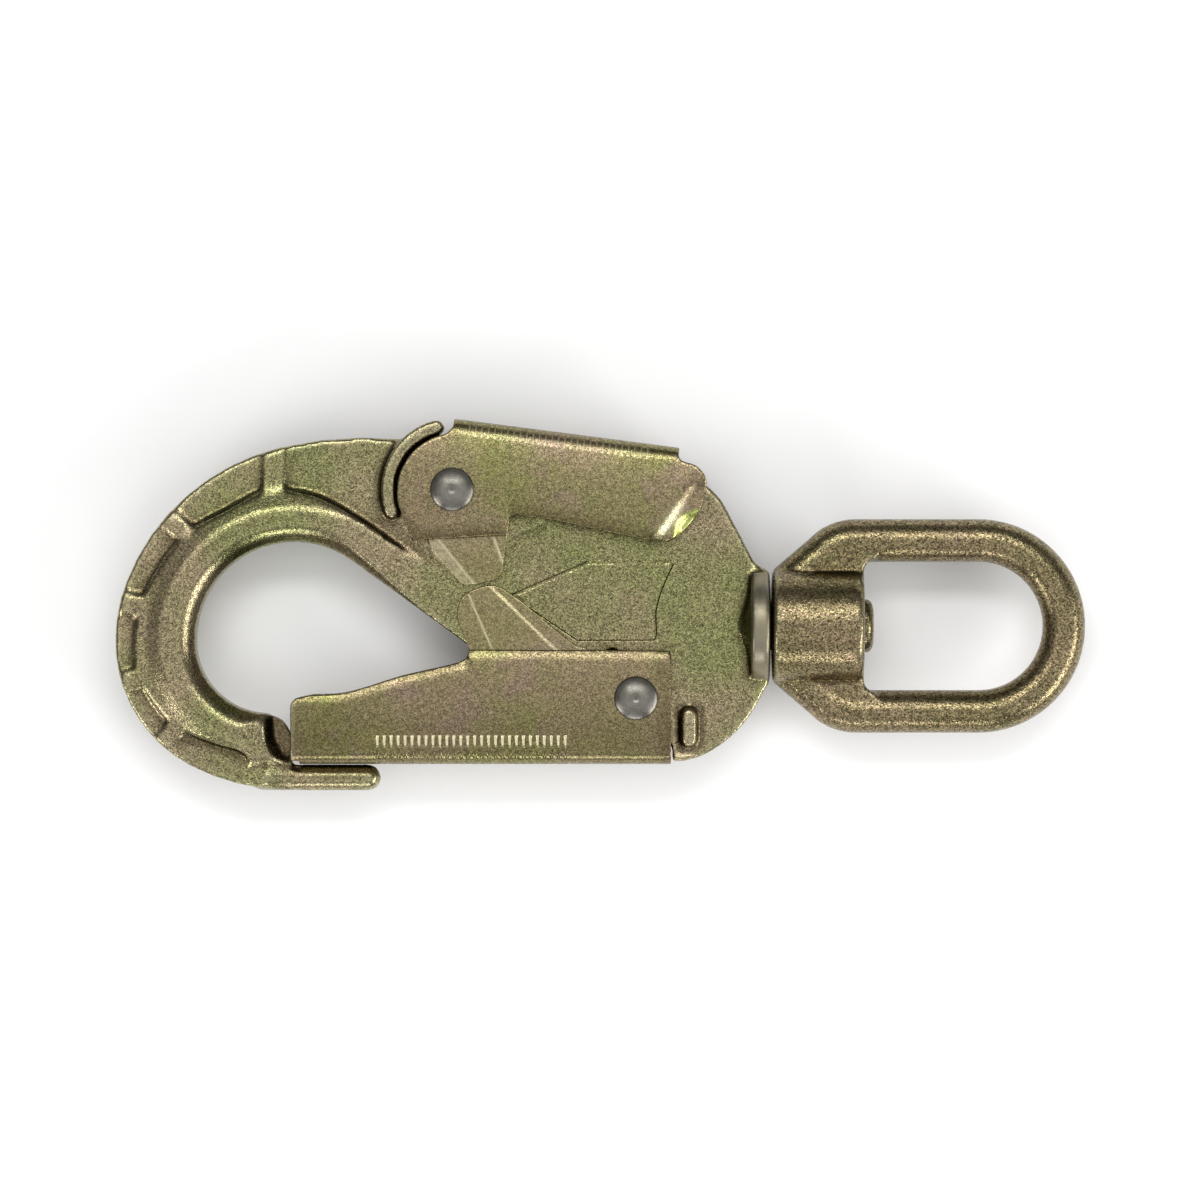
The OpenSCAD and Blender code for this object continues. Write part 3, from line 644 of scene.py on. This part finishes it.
# Lock plate inside the gate
TOOTH = [(-68, -5.2), (-69.5, -1.3), (-70.6, 1.8), (-70.6, 3.4), (-69.8, 6.1), (-68, 7.7), (-65.3, 8.8),
         (-63.2, 9.2), (-61, 8.8), (-58.7, 7.3), (-55.6, 5.2), (-49.6, 0.1), (-45.7, -3.1), (-43.6, -4.5),
         (-41.2, -5)]
TOOTH_FOLD_LEFT = ((-67.95, 6.75), (-62.86, -5.04))
TOOTH_FOLD_RIGHT = ((-63.22, 9.0), (-50.5, -3.4))


def make_lock_plate():
    """The tooth stands up from the plate, with a fold line on each side."""
    fold, to_s = channel(GATE_SPINE + SHEET, 1, 5.6, INNER, INNER_BEND)
    cheek = soft(TOOTH, 4) + [(-41.2, -5.6), (-25.2, -8), (-23.6, -10), (-23.6, -20), (-28, -24)]
    half = [(-62, 0.4), (-62, 4.2), (-66.6, to_s(-18))] + [(x, to_s(y)) for x, y in cheek]
    half += [(-44, 4.2), (-44, 0.4)]

    def place(x, s, h):
        x, y, z, side = fold(x, s, h)
        left = 1 - crease(x, y, TOOTH_FOLD_LEFT)
        right = crease(x, y, TOOTH_FOLD_RIGHT)
        drop = 0.2 * left + 0.24 * right + 0.12 * smoothstep(y, 4, 9)
        return np.stack([x, y, (z - drop) * side], 1)

    o, p, _ = sheet_piece("lock_plate_sheet", rounded(mirrored(half), 0.5), place, (INNER, INNER_EDGE, 0.34),
                          (GATE_PIVOT[0], to_s(GATE_PIVOT[1])), M_LOCK,
                          ("gate", "lock_steel", "gate_lock_plate"))
    x, y = p[:, 0], p[:, 1]
    # Painted highlights along the two fold lines, in the bare-metal colour
    set_value(o.data, "tick", np.maximum(0.75 * fold_line(x, y, TOOTH_FOLD_LEFT),
                                         0.45 * fold_line(x, y, TOOTH_FOLD_RIGHT)))


# Lever, in its own frame: pivot at the origin, spine along +X at the top
LEVER_COS, LEVER_SIN = math.cos(LEVER_TILT), math.sin(LEVER_TILT)
LEVER_TOP = 15.9
LEVER_BEND = ((53.05, 6.74), (46.71, -5.65))
LEVER_CORNER = (56.3, -3.0)
ARCH_EDGE = ((-7.09, -12.47), (13.51, -8.67))


def from_lever(x, y, z):
    return np.stack([LEVER_PIVOT[0] + LEVER_COS * x - LEVER_SIN * y,
                     LEVER_PIVOT[1] + LEVER_SIN * x + LEVER_COS * y, z], 1)


def to_lever(x, y):
    dx, dy = x - LEVER_PIVOT[0], y - LEVER_PIVOT[1]
    return LEVER_COS * dx + LEVER_SIN * dy, LEVER_COS * dy - LEVER_SIN * dx


def lever_low_edge(x):
    """The y of the cheek's lower edge, in the lever's frame."""
    return np.interp(x, [-12, -7, 13.4, 13.6, 18.4, 24.9, 33.6, 42.3, 47.6, 50.6, 53.6, 55.8],
                     [-6, -12.4, -8.8, -3.8, -3.9, -4, -4.8, -5.5, -5.6, -4.7, -1.4, 2.6])


def make_lever():
    fold, to_s = channel(LEVER_TOP, -1, 9.2, SHEET, SHEET_BEND)
    right_end = soft([(51.6, 12.7), (53.9, 12.2), (56.2, 9.9), (56.5, 6.7), (55.8, 2.6), (53.6, -1.4),
                      (50.6, -4.7), (47.6, -5.6), (42.3, -5.5), (33.6, -4.85), (24.9, -4.05),
                      (18.4, -3.9), (15.6, -3.8), (13.6, -4.8), (13, -6.4), (13.4, -8.7)], 4)
    left_end = soft([(-7.6, -12.2), (-9.2, -9.3), (-11.5, -5), (-12.2, -2), (-12, 2.4), (-9.7, 7.4),
                     (-6, 10.8), (-2.2, 12.7), (-1.6, 14.9)], 4)
    spine_edge = to_s(12.5)
    half = [(-1.6, 0.4), (-1.6, spine_edge - 1.2)]
    half += [(x, to_s(y)) for x, y in left_end[::-1] if y < 12.6]
    half += [(-7.1, to_s(-12.5)), (13.4, to_s(-8.7))]
    half += [(x, to_s(y)) for x, y in right_end[::-1]]
    half += [(50.2, spine_edge - 0.4), (49.5, spine_edge - 1.2), (49.5, 0.4)]

    def place(x, s, h):
        """The cheek's right end steps inwards, its lower corner bends down steeply, and its
        lower edges roll inwards."""
        x, y, z, side = fold(x, s, h)
        bent = 1.5 * smoothstep(left_of(x, y, *LEVER_BEND), -1.9, 2.0) * (1 - smoothstep(y, 6.5, 11))
        from_corner = np.hypot(x - LEVER_CORNER[0], y - LEVER_CORNER[1])
        corner = 1.4 * smoothstep(6.0 - from_corner, 0, 2.4)
        arch_roll = 0.35 * smoothstep(-left_of(x, y, *ARCH_EDGE), -1.3, 0.2) * (1 - smoothstep(x, 13, 15))
        edge = np.interp(x, [13.6, 18.4, 24.9, 33.6, 42.3, 47.6], [-3.8, -3.9, -4.05, -4.85, -5.5, -5.6])
        long_roll = 0.5 * (1 - smoothstep(y - edge, -0.4, 2.6)) * smoothstep(x, 14, 16)
        crown = 0.005 * np.clip(y - 1, -12, 11.5) ** 2
        lower = np.minimum(bent + corner, 2.8) + arch_roll + long_roll + crown
        return from_lever(x, y, (z - lower * smoothstep(z, 3, 7)) * side)

    pitch, width = 1.44, 0.5
    grooves = []
    for x0 in 1.9 + pitch * np.arange(29):
        grooves += on_both_sides(x0, x0 + width, to_s(14.7), to_s(12.4), 0.06)
    o, p, depth = sheet_piece("lever_sheet", rounded(mirrored(half), 0.5), place, (SHEET, SHEET_EDGE, 0.6),
                              (0, to_s(0.0)), M_SHEET, ("lever", "sheet_steel", "lock_lever"), grooves)
    x, y = to_lever(p[:, 0], p[:, 1])
    set_value(o.data, "tick", np.clip(depth * 6, 0, 1))
    # Painted shade along the cheek's lower edge, where it rolls inwards
    set_value(o.data, "painted_shade", 0.7 * (1 - smoothstep(y - lever_low_edge(x), 0.3, 4.5)) * (x < 46))
    # A painted highlight along the bend, in the colour of worn plating, and a painted lime reflection on the
    # steep corner
    bend = 1 - smoothstep(np.abs(left_of(x, y, *LEVER_BEND) - 0.2), 0.4, 2.0)
    set_value(o.data, "edge", 3.4 * bend * (1 - smoothstep(y, 1, 6)) * smoothstep(y, -5.6, -3.5))
    from_corner = np.hypot(x - LEVER_CORNER[0], y - LEVER_CORNER[1])
    set_value(o.data, "lime_reflection", 0.85 * smoothstep(5.9 - from_corner, 0, 0.4))


# Pawl inside the lever, in the lever's frame
PAWL_FOLD_LEFT = ((-1.25, -11.97), (7.63, -20.37))
PAWL_FOLD_RIGHT = ((10.55, -9.4), (13.26, -14.72))
CATCH = [(1.8, -18.25), (5.1, -21), (6.2, -20.8), (6.2, -19.6), (3, -17.1)]


def make_pawl():
    fold, to_s = channel(LEVER_TOP - SHEET, -1, 7.2, INNER, INNER_BEND)
    round_end = [(8 * math.cos(a), 8 * math.sin(a)) for a in np.radians(range(95, 196, 10))]
    nose = [(-3, -14.2), (5.1, -21), (7.6, -20.5), (12.1, -19), (13.5, -17.3), (13.6, -9), (13.6, -2),
            (15.6, 4), (15.6, 12.2)]
    half = [(4.4, 0.4), (4.4, to_s(12.4))] + [(x, to_s(y)) for x, y in round_end + nose] + [(15.6, 0.4)]

    def place(x, s, h):
        x, y, z, side = fold(x, s, h)
        left = 1 - crease(x, y, PAWL_FOLD_LEFT)
        right = crease(x, y, PAWL_FOLD_RIGHT)
        return from_lever(x, y, (z - 0.24 * left - 0.22 * right) * side)

    o, p, _ = sheet_piece("pawl_sheet", rounded(mirrored(half), 0.6), place, (INNER, INNER_EDGE, 0.34),
                          (0, to_s(0.0)), M_LOCK, ("lever", "lock_steel", "lock_pawl"))
    x, y = to_lever(p[:, 0], p[:, 1])
    # Painted highlight on the strip left of the left fold, and painted highlights along both fold lines
    set_value(o.data, "edge", 1.6 * (1 - crease(x, y, PAWL_FOLD_LEFT)))
    set_value(o.data, "tick", np.maximum(0.7 * fold_line(x, y, PAWL_FOLD_LEFT),
                                         0.8 * fold_line(x, y, PAWL_FOLD_RIGHT)))


def slab(outline, z0, z1, b, to_row):
    """Small closed block with rounded edges: an outline between two levels."""
    ring = spaced(rounded(outline, 0.3), 0.5)
    if area(ring) < 0:
        ring = ring[::-1]
    c = b * 0.29
    levels = [(b, z0), (c, z0 + c), (0, z0 + b), (0, z1 - b), (c, z1 - c), (b, z1)]
    verts = []
    for d, z in levels:
        r = inset(ring, d) if d else ring
        verts.append(to_row(r[:, 0], r[:, 1], np.full(len(ring), z)))
    return np.concatenate(verts), closed_rows(len(levels), len(ring))


def make_catches():
    """The catch that is turned down at the pawl's left edge, on both cheeks."""
    for tag, side in (("a", 1), ("b", -1)):
        v, f = slab(CATCH, 4.35, 6.6, 0.12, lambda x, y, z: from_lever(x, y, z * side))
        new_piece("pawl_catch_" + tag, v, f, M_LOCK, "lever", "lock_steel")


# Turned pieces
def lathe(name, profile, centre, material, body, slot, node, segments=96):
    """Turned piece about the vertical through centre. The profile is (radius, z)."""
    angles = np.linspace(0, 2 * np.pi, segments, endpoint=False)
    verts, faces, rows = [], [], []
    for r, z in profile:
        at_axis = r < 1e-6
        count = 1 if at_axis else segments
        rows.append(list(range(len(verts), len(verts) + count)))
        verts += [(centre[0] + r * math.cos(a), centre[1] + r * math.sin(a), z) for a in angles[:count]]
    for p, q in zip(rows, rows[1:]):
        for i in range(segments):
            j = (i + 1) % segments
            if len(p) == 1:
                faces.append((p[0], q[j], q[i]))
            elif len(q) == 1:
                faces.append((p[i], p[j], q[0]))
            else:
                faces.append((p[i], p[j], q[j], q[i]))
    return new_piece(name, verts, faces, material, body, slot, node)


RIVET_SHANK, HEAD_R, HEAD_HEIGHT = 3.2, 4.9, 2.3


def rivet_profile(grip):
    """Shank, flat underside, low dome with a small dimple, on both sides."""
    dome = (HEAD_R ** 2 + HEAD_HEIGHT ** 2) / (2 * HEAD_HEIGHT) * 1.35

    def height(q):
        return grip + HEAD_HEIGHT - dome + math.sqrt(dome * dome - q * q)

    head = [(RIVET_SHANK, grip - 0.4), (RIVET_SHANK, grip), (4.6, grip + 0.02), (4.82, grip + 0.12),
            (HEAD_R, grip + 0.3), (HEAD_R, height(HEAD_R) - 0.12), (4.84, height(4.75) - 0.06)]
    for q in (4.68, 4.4, 4.0, 3.5, 3.0, 2.5, 2.0, 1.5, 1.15):
        head.append((q, height(q)))
    for q, dimple in ((0.98, 0.03), (0.82, 0.11), (0.6, 0.2), (0.35, 0.25), (0.0, 0.27)):
        head.append((q, height(q) - dimple))
    return [(q, -z) for q, z in head[::-1]] + head


def make_rivet(name, centre, grip, material, node):
    o = lathe(name, rivet_profile(grip), centre, material, "body", "rivet_steel", node)
    p = points_of(o.data) / MM
    r = np.hypot(p[:, 0] - centre[0], p[:, 1] - centre[1])
    # Painted shade in the dimple and round the head's rim
    set_value(o.data, "painted_shade", np.clip((0.75 - r) / 0.5, 0, 1) * 0.5 + 0.8 * smoothstep(r, 4.5, 4.85))


# Springs
def tube(name, path, r, material, body, slot, node, sides=12):
    """Wire of radius r along a path, with bevelled ends."""
    p = np.asarray(path, float)
    t = np.gradient(p, axis=0)
    t /= np.linalg.norm(t, axis=1)[:, None]
    u = np.cross([0, 0, 1.0], t)
    u /= np.maximum(np.linalg.norm(u, axis=1), 1e-6)[:, None]
    w = np.cross(t, u)
    angles = np.linspace(0, 2 * np.pi, sides, endpoint=False)
    rings = [(p[0], u[0], w[0], 0.7 * r), (p[0] + 0.15 * t[0], u[0], w[0], r)]
    rings += [(p[i], u[i], w[i], r) for i in range(1, len(p))]
    rings += [(p[-1] + 0.12 * t[-1], u[-1], w[-1], 0.7 * r)]
    verts = []
    for at, across, up, radius in rings:
        verts += [tuple(at + radius * (across * math.cos(a) + up * math.sin(a))) for a in angles]
    return new_piece(name, verts, closed_rows(len(rings), sides), material, body, slot, node)


def spring_path(centre, from_dir, to_dir, leg_a, leg_b, coil_r=5.35, turns=2, coil_h=2.5):
    """A flat coil of two turns and more, with a straight leg at each end."""
    sweep = turns * 360 + (to_dir - from_dir) - 180
    n = int(abs(sweep) / 6)
    coil = []
    for i in range(n + 1):
        a = math.radians(from_dir + 90 + sweep * i / n)
        coil.append((coil_r * math.cos(a), coil_r * math.sin(a), -coil_h / 2 + coil_h * i / n))

    def leg(start, direction, length):
        dx, dy = math.cos(math.radians(direction)), math.sin(math.radians(direction))
        steps = [length * k / 6 for k in range(1, 7)]
        return [(start[0] + d * dx, start[1] + d * dy, start[2]) for d in steps]

    path = leg(coil[0], from_dir, leg_a)[::-1] + coil + leg(coil[-1], to_dir, leg_b)
    return [(x + centre[0], y + centre[1], z) for x, y, z in path]


def make_spring(name, centre, directions, legs, node):
    tube(name, spring_path(centre, *directions, *legs), 0.6, M_WIRE, "body", "spring_steel", node)


# Forged pieces
PLATE_FACE, PANEL_FACE = 4.0, 3.5
PANEL = [(-43.65, -3.2), (-58.7, 7), (-41.2, 14.6), (-22.6, 14.8)] + soft(
    [(-21.9, 14), (-24.6, 8), (-25.9, 2.9), (-25.7, -1.8), (-26.4, -3.2)], 3) + [(-26.4, -3.2)]
FINGER_TOP, FINGER_MIDDLE = -31.2, -34.15
COLLAR_FACE_R = 12.75


def nose_side(y, x_middle, x_top):
    """The x of the recess's left side beside the nose's bend."""
    return np.interp(y, [-31.5, -29.6, -25.6, -21.7], [-107.5, -111, x_middle, x_top])


def shape_nose(p):
    """The bead bends down in an S and runs on as the round finger, beside a deep recess.
    Returns how far each point is moved down towards the middle plane."""
    x, y, z = p[:, 0], p[:, 1], np.abs(p[:, 2])
    deep = smoothstep(x - nose_side(y, -112.9, -113.2), -0.9, 0.7) * smoothstep(y, -31.6, -30.8)
    deep = deep * (x < -106) * (y < -18)
    top = np.minimum(z, z * (1 - deep) + 2.3 * deep)
    bar = np.interp(x, [-116, -113, -110.5, -107.6], [5.6, 4.5, 3.5, 2.85])
    bar = bar * np.sqrt(np.clip(1 - ((y - FINGER_MIDDLE) / 3.15) ** 2, 0.12, 1))
    w = smoothstep(x, -116.2, -112.8) * (x < -107.2) * (1 - smoothstep(y, -32.0, -30.4))
    return z - (top * (1 - w) + np.minimum(top, bar) * w)


def painted_shade_places(x, y, z):
    """Painted shade in the nose's recess and on the finger's upper half and, on the front, painted
    shadow close beside the edges of the lever and the gate."""
    recess = smoothstep(x - nose_side(y, -113, -113.4), -0.6, 0.5) * (1 - smoothstep(x, -106.5, -105.5))
    recess = recess * smoothstep(y, -31.4, -30.4) * (1 - smoothstep(y, -21.0, -19.6))
    finger = smoothstep(y, -35.0, -32.8) * (y < -31) * smoothstep(x, -112, -109) * (x < -85)
    lx, ly = to_lever(x, y)
    below = lever_low_edge(lx) - ly
    lever = (1 - smoothstep(below, 0.2, 2.6)) * (below > -1) * (lx > -8) * (lx < 56) * (z > 3.2)
    gate = (1 - smoothstep(y + 5, 0.1, 1.6)) * (y > -6) * (x > -44) * (x < -22) * (z > 3.2)
    return np.maximum.reduce([1.4 * recess, 0.85 * finger, 0.55 * lever, 0.4 * gate])


def make_hook():
    o = remeshed("hook_body", "forged_hook", 0.55, 5)
    crisp_step(o, PANEL, PLATE_FACE, PANEL_FACE)
    p = points_of(o.data) / MM
    on_finger = (p[:, 0] > -107.5) & (p[:, 0] < -86) & (p[:, 1] < FINGER_TOP)
    p[:, 1] += 0.18 * smoothstep(p[:, 1], -33, -31.8) * on_finger
    p[:, 2] -= np.sign(p[:, 2]) * shape_nose(p)
    x, y = p[:, 0], p[:, 1]
    near = smoothstep(x, -118, -116) * (1 - smoothstep(x, -106.5, -105)) * (1 - smoothstep(y, -21, -19))
    p = relax(p, edges_of(o.data), 9, 0.5, near)
    set_points(o.data, p * MM)
    relief(o, 16, 0.16, 0.12)
    x, y, z = p.T
    turned = (x > -4.5) & (x < 0.5) & (np.hypot(y, z) < COLLAR_FACE_R)
    set_value(o.data, "turned", turned.astype(float))
    # Painted shade from the creases, taken off the finger's top, then painted shade in the recess, on the
    # finger and beside the lever and gate
    painted_shade = np.empty(len(p), np.float32)
    o.data.attributes["painted_shade"].data.foreach_get("value", painted_shade)
    painted_shade *= 1 - (x < -88) * (x > -113.5) * (y < FINGER_TOP)
    set_value(o.data, "painted_shade", np.maximum(painted_shade, painted_shade_places(x, y, z)))
    dress(o, M_FORGED, "body", "forged_steel", "hook_body")


def make_eye():
    o = remeshed("swivel_eye", "forged_eye", 0.4, 8)
    relief(o, 24, 0.14, 0.12)
    dress(o, M_EYE, "eye", "eye_steel", "swivel_eye")


def paint_solids():
    """CAD nodes that stay as they are, with materials."""
    for node, mat in (("gate_bushing", M_BRONZE), ("lock_bushing", M_BRONZE),
                      ("thrust_washer", M_WASHER), ("shank_retainer", M_EYE)):
        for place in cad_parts[node].material_slots:
            place.material = mat


# Floor, light and camera, in metres
FLOOR_Z = -0.01295
FLOOR_HALF = 3
AIM = (-0.04, 0, 0)


def make_floor():
    me = bpy.data.meshes.new("floor")
    corners = [(-1, -1), (1, -1), (1, 1), (-1, 1)]
    me.from_pydata([(FLOOR_HALF * x, FLOOR_HALF * y, FLOOR_Z) for x, y in corners], [], [(0, 1, 2, 3)])
    floor = bpy.data.objects.new("floor", me)
    scene.collection.objects.link(floor)
    t = Tree("pale_floor")
    t.put(t.bsdf.inputs["Base Color"], (1, 1, 1, 1))
    t.put(t.bsdf.inputs["Roughness"], 0.9)
    t.put(t.bsdf.inputs["Specular IOR Level"], 0.0)
    me.materials.append(t.mat)


def make_sky():
    """A tent of soft light by height: dark low down, brightest in a ring near the top and a
    little dimmer straight above, where the camera stands."""
    world = bpy.data.worlds.new("studio")
    scene.world = world
    world.use_nodes = True
    t = world.node_tree
    bg = t.nodes["Background"]
    direction = t.nodes.new("ShaderNodeTexCoord").outputs["Generated"]
    split = t.nodes.new("ShaderNodeSeparateXYZ")
    ramp = t.nodes.new("ShaderNodeValToRGB")
    ramp.color_ramp.interpolation = "EASE"
    stops = [(0.0, 0.15), (0.1, 0.12), (0.35, 0.16), (0.55, 0.25), (0.68, 0.5), (0.8, 1.1),
             (0.88, 1.32), (0.96, 1.15), (1.0, 0.98)]
    while len(ramp.color_ramp.elements) < len(stops):
        ramp.color_ramp.elements.new(0.5)
    for el, (at, v) in zip(ramp.color_ramp.elements, stops):
        el.position = at
        el.color = (v / 2, v / 2, v / 2, 1)
    t.links.new(direction, split.inputs[0])
    t.links.new(split.outputs["Z"], ramp.inputs[0])
    t.links.new(ramp.outputs[0], bg.inputs["Color"])
    bg.inputs["Strength"].default_value = 1.75


def softbox(name, at, length, power, width=0.2):
    d = bpy.data.lights.new(name, "AREA")
    d.shape = "RECTANGLE"
    d.size = length
    d.size_y = width
    d.energy = power
    o = bpy.data.objects.new(name, d)
    scene.collection.objects.link(o)
    o.location = at
    o.rotation_mode = "QUATERNION"
    o.rotation_quaternion = (Vector(AIM) - Vector(at)).to_track_quat("-Z", "Y")


def make_camera():
    """The camera looks straight down, as in the photo, from far enough away to be nearly flat."""
    data = bpy.data.cameras.new("view")
    cam = bpy.data.objects.new("view", data)
    scene.collection.objects.link(cam)
    data.sensor_width = 36
    data.lens = 200
    data.clip_start = 0.05
    data.clip_end = 20
    cam.location = (-0.03848, 0.00585, 1.506)
    scene.camera = cam


make_gate()
make_lock_plate()
make_lever()
make_pawl()
make_catches()
make_rivet("gate_rivet_turned", GATE_PIVOT, 7.7, M_RIVET_G, "gate_rivet")
make_rivet("lock_rivet_turned", LEVER_PIVOT, 9.3, M_RIVET_L, "lock_rivet")
make_spring("gate_spring_wire", GATE_PIVOT, (90, 232), (9.8, 14.2), "gate_spring")
make_spring("lock_spring_wire", LEVER_PIVOT, (300, 70), (9.8, 11.6), "lock_spring")
make_hook()
make_eye()
paint_solids()
make_floor()
make_sky()
softbox("box_top", (-0.05, 0.5, 0.9), 0.9, 2.8)
softbox("low_right", (0.9, -0.12, 0.4), 0.45, 2.2)
softbox("low_corner", (0.72, -0.52, 0.4), 0.4, 3.0)
softbox("low_bottom", (-0.08, -0.9, 0.38), 0.6, 2.0)
softbox("low_left", (-0.75, -0.5, 0.42), 0.4, 2.0)
make_camera()
scene.view_settings.view_transform = "Standard"

bpy.context.view_layer.update()
